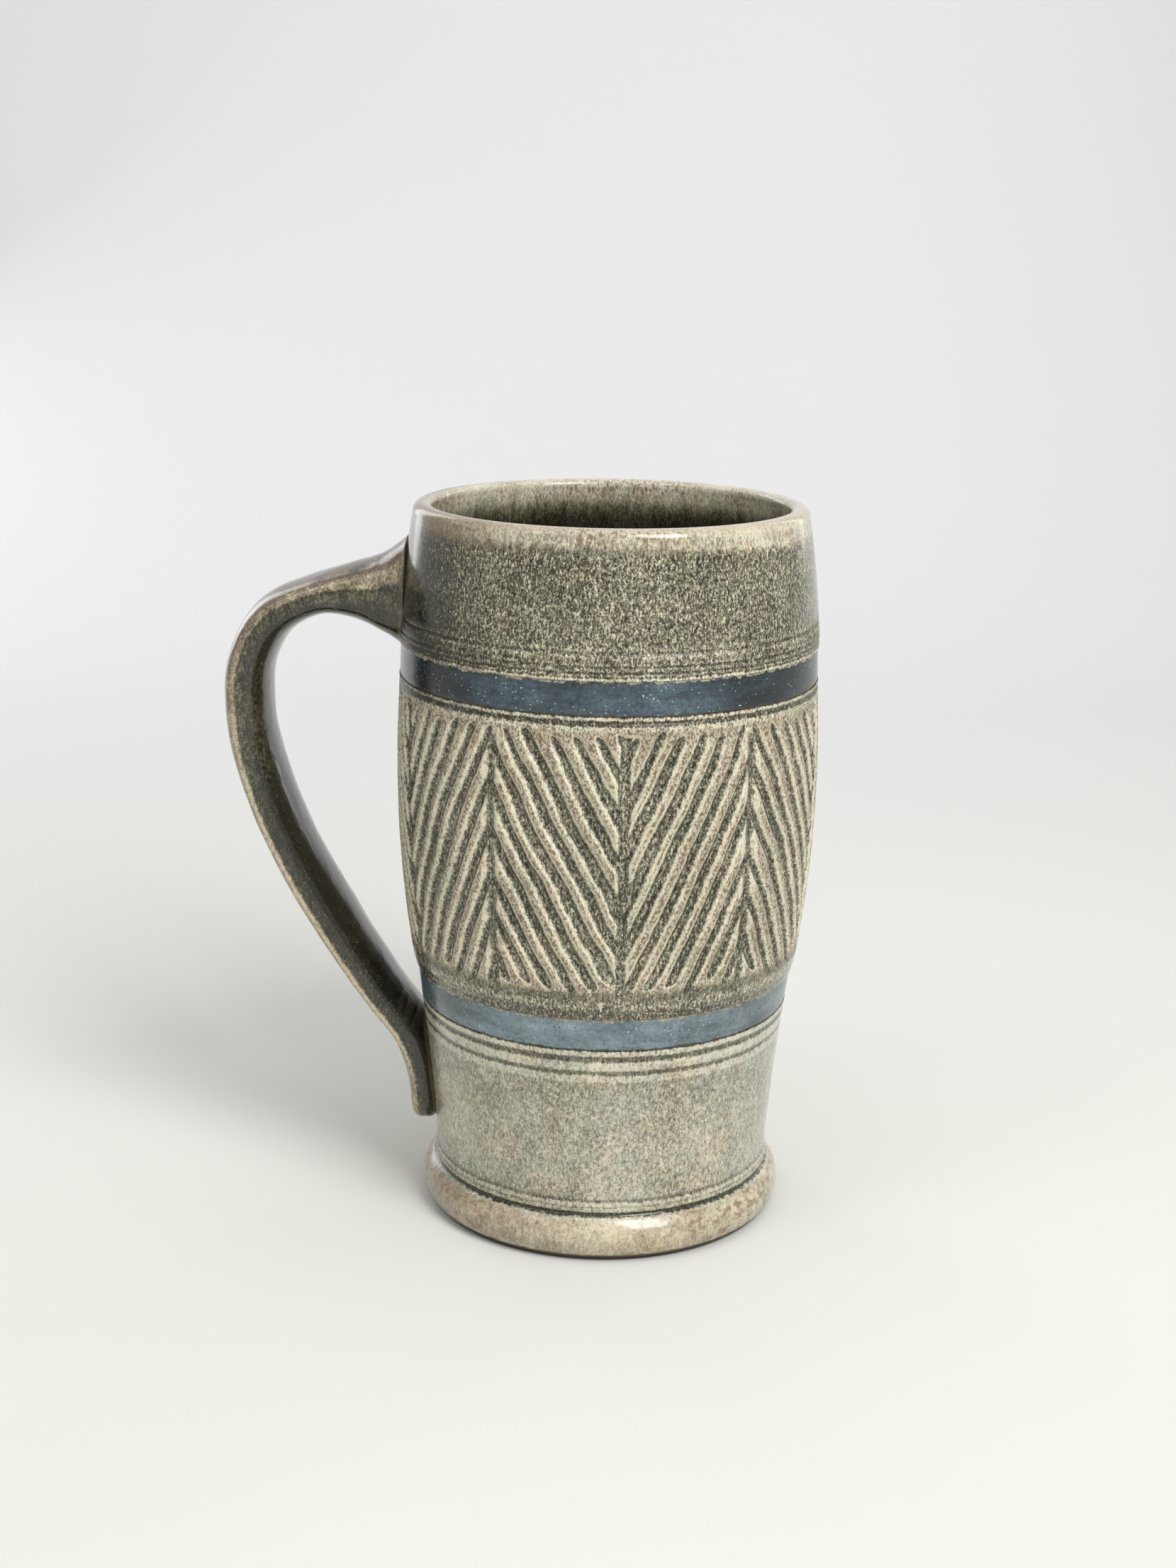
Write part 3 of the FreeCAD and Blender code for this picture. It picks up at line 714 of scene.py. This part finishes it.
liner_glaze, place = new_glaze("liner_glaze_inside")
_, _, height = place.parts()
thin = drained_and_shaded_inside(place, height)
rings = place.noise(2.4, 2.0, 0.5, (30, 30, 1))
colour, flecks = olive(place, thin + rings * 0.12, 0.32)
fire(colour, 0.16 + place.noise(4.0, 2.0) * 0.1, flecks + rings * 0.25)
liner.data.materials.append(liner_glaze)
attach(liner, "root")
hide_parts("liner_glaze")


# ---------------------------------------------------------------------------------------
# The handle.  A strap of the same clay, pulled by hand, with a trumpet root luted to the
# neck and a tail pressed flat on the lower wall; the glaze breaks tan along its edges.
# ---------------------------------------------------------------------------------------

# Reach, height, lean of the outer face from straight up, depth through the strap, width
# across it, and how far clay is smeared out on the cup's side of the strap.
STATIONS = [
    (41.0, 132.2, 0, 25.4, 23.4, 0.0), (43.2, 132.2, 0, 21.4, 21.4, 0.0),
    (47.2, 131.9, 3, 16.0, 20.3, 0.0), (53.0, 132.3, 8, 11.4, 20.0, 0.0),
    (61.0, 131.4, 21, 8.2, 20.0, 0.0), (69.6, 127.0, 46, 9.0, 20.0, 0.0),
    (74.6, 118.6, 74, 9.4, 20.0, 0.0), (75.7, 109.0, 91, 9.4, 20.0, 0.0),
    (73.9, 96.4, 103, 9.4, 20.0, 0.0), (67.2, 78.0, 115, 9.3, 20.0, 0.0),
    (56.6, 59.0, 120, 9.2, 19.8, 0.0), (47.9, 45.6, 124, 8.3, 19.4, 0.02),
    (41.3, 36.2, 110, 7.9, 19.2, 0.1), (38.6, 26.5, 96, 7.1, 19.0, 0.12),
    (38.0, 16.2, 93, 6.6, 18.6, 0.12)]
# Corners run from 0 square to 1 round; the tail and the root end are shares of its length.
PULLING = {"Around": 97.0, "Along": 421.0, "Outer corner": 0.6, "Inner corner": 0.86,
           "Crown": 0.045, "Waver": 0.22, "Tail": 0.035, "Root end": 0.004}

path = bpy.data.meshes.new("pulled_handle_path")
path.from_pydata([(-out * MM, 0, up * MM) for out, up, *_ in STATIONS],
                 [(k, k + 1) for k in range(len(STATIONS) - 1)], [])
for label, column in (("lean", 2), ("depth", 3), ("width", 4), ("smear", 5)):
    path.attributes.new(label, "FLOAT", "POINT").data.foreach_set(
        "value", [station[column] for station in STATIONS])
handle = put_in_scene("pulled_strap_handle", path)

pulling_tree, inputs = node_tree_for("pull the handle", PULLING)
line = inputs["Geometry"].add("GeometryNodeMeshToCurve", None, {0: inputs["Geometry"]})
line = line.add("GeometryNodeCurveSplineType", {"spline_type": "CATMULL_ROM"}, {0: line})
grid = line.add("GeometryNodeMeshGrid", None, {
    "Size X": 1.0, "Size Y": 1.0, "Vertices X": inputs["Around"], "Vertices Y": inputs["Along"]})
around, along, _ = grid.add("GeometryNodeInputPosition").parts()
turn = around * (2 * math.pi)
along = along + 0.5


def from_path(label):
    """A station's number, read along the path."""
    named = along.add("GeometryNodeInputNamedAttribute", {"data_type": "FLOAT"}, {"Name": label})
    return along.add("GeometryNodeSampleCurve", {"data_type": "FLOAT", "mode": "FACTOR"},
                     {"Curves": line, "Value": named, "Factor": along})


def squared(wave):
    """Square up a wave, so that a round section turns into a strap with firm corners."""
    return wave.math("ABSOLUTE").math("POWER", corner) * wave.math("SIGN")


wave = turn.math("SINE")
corner = wave.rise(-0.25, 0.1).mix(inputs["Inner corner"], inputs["Outer corner"])
side = squared(turn.math("COSINE"))
outward = squared(wave)
marked = grid.add("GeometryNodeStoreNamedAttribute", {"data_type": "FLOAT_VECTOR"}, {
    "Geometry": grid, "Name": "strap", "Value": side.join(side, outward, along)})
to_tail = ((1 - along) / inputs["Tail"]).math("MINIMUM", 1.0)
closing = (1 - (1 - to_tail).math("POWER", 2.0)).math("MAXIMUM", 0.0).math("SQRT")
root_end = (along / inputs["Root end"]).math("MINIMUM", 1.0)
smear = (-outward).rise(-0.2, 1.0) * from_path("smear") + 1
half_width = from_path("width") * 0.5 * closing * root_end * smear
half_depth = from_path("depth") * 0.5 * closing.math("POWER", 0.6) * root_end
centre = along.add("GeometryNodeSampleCurve", {"data_type": "FLOAT", "mode": "FACTOR"},
                   {"Curves": line, "Factor": along}, 1).scaled(1 / MM)
crown = outward.rise(0.4, 1.0) * (side * 4.2).math("COSINE") * inputs["Crown"]
through = (outward + crown) * half_depth
lean = from_path("lean") * RADIANS
offset = lean.join(-lean.math("SINE") * through, side * half_width,
                   lean.math("COSINE") * through)
place = centre.vector("ADD", offset)
hand = place.noise(14.0, 2.0) * inputs["Waver"] * half_depth.math("MINIMUM", 4.0) * 0.25
inner = place.vector("SUBTRACT", centre)
place = place.vector("ADD", inner.scaled(hand.math("ABSOLUTE") * -0.5))
strap = marked.add("GeometryNodeSetPosition", None,
                   {"Geometry": marked, "Position": place.scaled(MM)})
strap = strap.add("GeometryNodeMergeByDistance", None, {"Geometry": strap, "Distance": 0.001 * MM})
strap = strap.add("GeometryNodeSetShadeSmooth", None, {"Geometry": strap})
end_tree(strap, inputs["Glaze"])

CORNER_CAST = fired(255, 234, 216)
WELD_TAN = fired(158, 136, 112)
HANDLE_IRON = fired(56, 44, 32)
handle_glaze, place = new_glaze("pulled_handle_glaze")
_, _, height = place.parts()
on_strap = place.add("ShaderNodeAttribute", {"attribute_name": "strap"}, output=1)
side, outward, along = on_strap.parts()
blotch = place.noise(3.4, 3.0, 0.6)

# Dark on the cup's side, partly where the glaze pools and partly painted shade between strap and
# wall, and thin in a stripe down both outer corners.
corner = (side.math("ABSOLUTE") - 0.08).math("MINIMUM", outward + 0.32) + blotch * 0.16
stripe = corner.rise(0.57, 0.72)
crown = (outward + blotch * 0.16).rise(0.72, 0.84)
pooled = (blotch * 0.4 - outward).rise(-0.5, 0.6)
thin = pooled.mix(0.3, 0.02) + blotch * 0.4 - along.between(0.35, 0.6, 0.8, 0.95) * 0.1
thin = stripe.mix(thin, 0.66 + blotch * 0.4)
# Painted highlight: a near-white line along the outer corner, down the lower strap.
painted_highlight_line = (outward - 0.52).math("ABSOLUTE").rise(0.17, 0.06) * stripe
thin = (painted_highlight_line * along.between(0.3, 0.5, 0.85, 0.95)).mix(thin, 0.95)
thin = crown.mix(thin, 0.42 + blotch * 0.4)
# Painted shade: the outer face of the upper strap is darkened against the strong light from above.
thin = thin - along.rise(0.42, 0.2) * outward.rise(0.0, 0.5) * 0.14
thin = thin + along.rise(0.2, 0.06) * blotch.rise(-0.1, 0.2) * 0.14
colour, flecks = olive(place, thin, 0.46)
warm = crown.math("MAXIMUM", stripe * 0.8)
colour = (warm * 0.7).tint(colour, CORNER_CAST, "MULTIPLY")

# Brown streaks down the outer face, the way that the strap was pulled.
pulled = side.join(along * 200.0, side * 2.0, outward * 3.0).noise(1.1, 2.0, 0.6)
streaks = pulled.rise(-0.08, 0.08) * outward.rise(0.45, 0.75)
colour = (streaks * 0.75).tint(colour, PIT_BROWN)

# A tan weld of slip where the strap meets the cup's wall.
wall = height.rise(90.0, 110.0).mix(height * 0.0995 + 34.5, 43.45)
seam = (place.reach() - wall + blotch * 0.5).rise(0.75, 0.3)
weld = seam * (0.62 + blotch * 0.6).rise(0.3, 0.7) * height.rise(110.0, 60.0).mix(0.3, 1.0)
colour = (weld * 0.8).tint(colour, WELD_TAN)
iron = place.specks(2.2, 0.3, 0.4)
colour = (iron * 0.5).tint(colour, HANDLE_IRON)
fire(colour, 0.13 + stripe * 0.06 + place.noise(4.0, 2.0) * 0.08,
     flecks + blotch * 0.25 + place.noise(1.6, 2.0) * 0.08)

run_tree(handle, pulling_tree, handle_glaze, PULLING)
face_outwards(handle.data)
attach(handle, "root")
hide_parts("pulled_handle")


# ---------------------------------------------------------------------------------------
# The table and its light.  A sheet of white paper that curves up into a pale backdrop, in
# an even white room.  Three soft boxes light the stein from the right, the left and above,
# and two narrow reflectors behind it brighten its edges.
# ---------------------------------------------------------------------------------------

SHEET_FRONT, SHEET_TOP, SHEET_SIDE = -900, 1500, 1500
CURVE_START, CURVE_RADIUS = 500, 420
sweep_line = [(SHEET_FRONT, 0)]
sweep_line += [(CURVE_START + CURVE_RADIUS * math.sin(t), CURVE_RADIUS * (1 - math.cos(t)))
               for t in np.linspace(0, math.pi / 2, 24)]
sweep_line += [(CURVE_START + CURVE_RADIUS, SHEET_TOP)]
vertices = [(x * MM, y * MM, z * MM) for y, z in sweep_line for x in (-SHEET_SIDE, SHEET_SIDE)]
faces = [(2 * k, 2 * k + 1, 2 * k + 3, 2 * k + 2) for k in range(len(sweep_line) - 1)]
sweep_mesh = bpy.data.meshes.new("paper_sweep")
sweep_mesh.from_pydata(vertices, [], faces)
sweep_mesh.shade_smooth()
sweep = put_in_scene("paper_sweep", sweep_mesh)

# Painted light on the paper: darker over the floor in front, paler up the backdrop, and painted
# shade towards the right.
PAPER_TONES_WITH_PAINTED_FALLOFF = [(0.0, fired(217, 218, 211)), (0.25, fired(221, 222, 216)),
               (0.5, fired(222, 223, 220)), (1.0, fired(232, 232, 233))]
PAINTED_RIGHT_SHADE = fired(242, 243, 240)
paper, place = new_glaze("white_paper")
x, y, _ = place.parts()
fibre = place.noise(40.0, 3.0)
paper_with_painted_falloff = (y.rise(-250.0, 900.0) + fibre * 0.05).ramp(PAPER_TONES_WITH_PAINTED_FALLOFF)
paper_with_painted_falloff = x.rise(60.0, 420.0).tint(paper_with_painted_falloff, PAINTED_RIGHT_SHADE, "MULTIPLY")
fire(paper_with_painted_falloff, 0.75 + fibre * 0.1, place.noise(1.0, 2.0) * 0.01, specular=0.1, glassy=0.0)
sweep_mesh.materials.append(paper)

world = bpy.data.worlds.new("white_room")
bpy.context.scene.world = world
world.use_nodes = True
room = world.node_tree.nodes["Background"]
room.inputs["Color"].default_value = (1.0, 1.0, 1.0, 1)
room.inputs["Strength"].default_value = 0.5

CUP_MIDDLE = Vector((0, 0, 80)) * MM


def soft_box(name, azimuth, elevation, distance, width, height, power):
    """An area light that faces the cup's middle; azimuth 0 is its front, in degrees.

    Its distance, width and height are in metres, its power in watts.
    """
    light = bpy.data.lights.new(name, "AREA")
    light.shape = "RECTANGLE"
    light.size, light.size_y = width, height
    light.energy = power
    lamp = put_in_scene(name, light)
    a, e = math.radians(azimuth), math.radians(elevation)
    away = Vector((math.sin(a) * math.cos(e), -math.cos(a) * math.cos(e), math.sin(e)))
    lamp.matrix_world = (Matrix.Translation(away * distance + CUP_MIDDLE)
                         @ away.to_track_quat("Z", "Y").to_matrix().to_4x4())


soft_box("right_soft_box", 36, 42, 1.1, 0.45, 0.7, 10.0)
soft_box("left_soft_box", -48, 48, 1.2, 0.3, 0.6, 1.2)
soft_box("top_soft_box", 10, 86, 1.2, 0.9, 0.9, 2.5)
soft_box("left_reflector", -141, 14, 0.9, 0.26, 0.9, 1.2)
soft_box("right_reflector", 140, 14, 0.95, 0.12, 0.9, 0.5)


# ---------------------------------------------------------------------------------------
# The camera.  It looks a little down on the front of the stein, with the handle to the
# left, and the whole stein in frame.
# ---------------------------------------------------------------------------------------

CAMERA_PLACE = Vector((20.20, -462.65, 213.14)) * MM
PITCH, YAW, ROLL, HANDLE_TURN = map(math.radians, (14.663, -0.4917, 0.879, 2.5))
LENS, SENSOR = 51.86, 36.0
forward = Vector((math.sin(YAW) * math.cos(PITCH), math.cos(YAW) * math.cos(PITCH),
                  -math.sin(PITCH)))
level = Vector((math.cos(YAW), -math.sin(YAW), 0))
up = level.cross(forward)
right = level * math.cos(ROLL) + up * math.sin(ROLL)
top = up * math.cos(ROLL) - level * math.sin(ROLL)
facing = Matrix((right, top, -forward)).transposed().to_4x4()
camera = put_in_scene("camera", bpy.data.cameras.new("camera"))
camera.data.lens = LENS
camera.data.sensor_width = SENSOR
camera.data.sensor_fit = "AUTO"
camera.matrix_world = (Matrix.Translation(CAMERA_PLACE) @ Matrix.Rotation(HANDLE_TURN, 4, "Z")
                       @ facing)
bpy.context.scene.camera = camera
bpy.context.scene.view_settings.view_transform = "Standard"
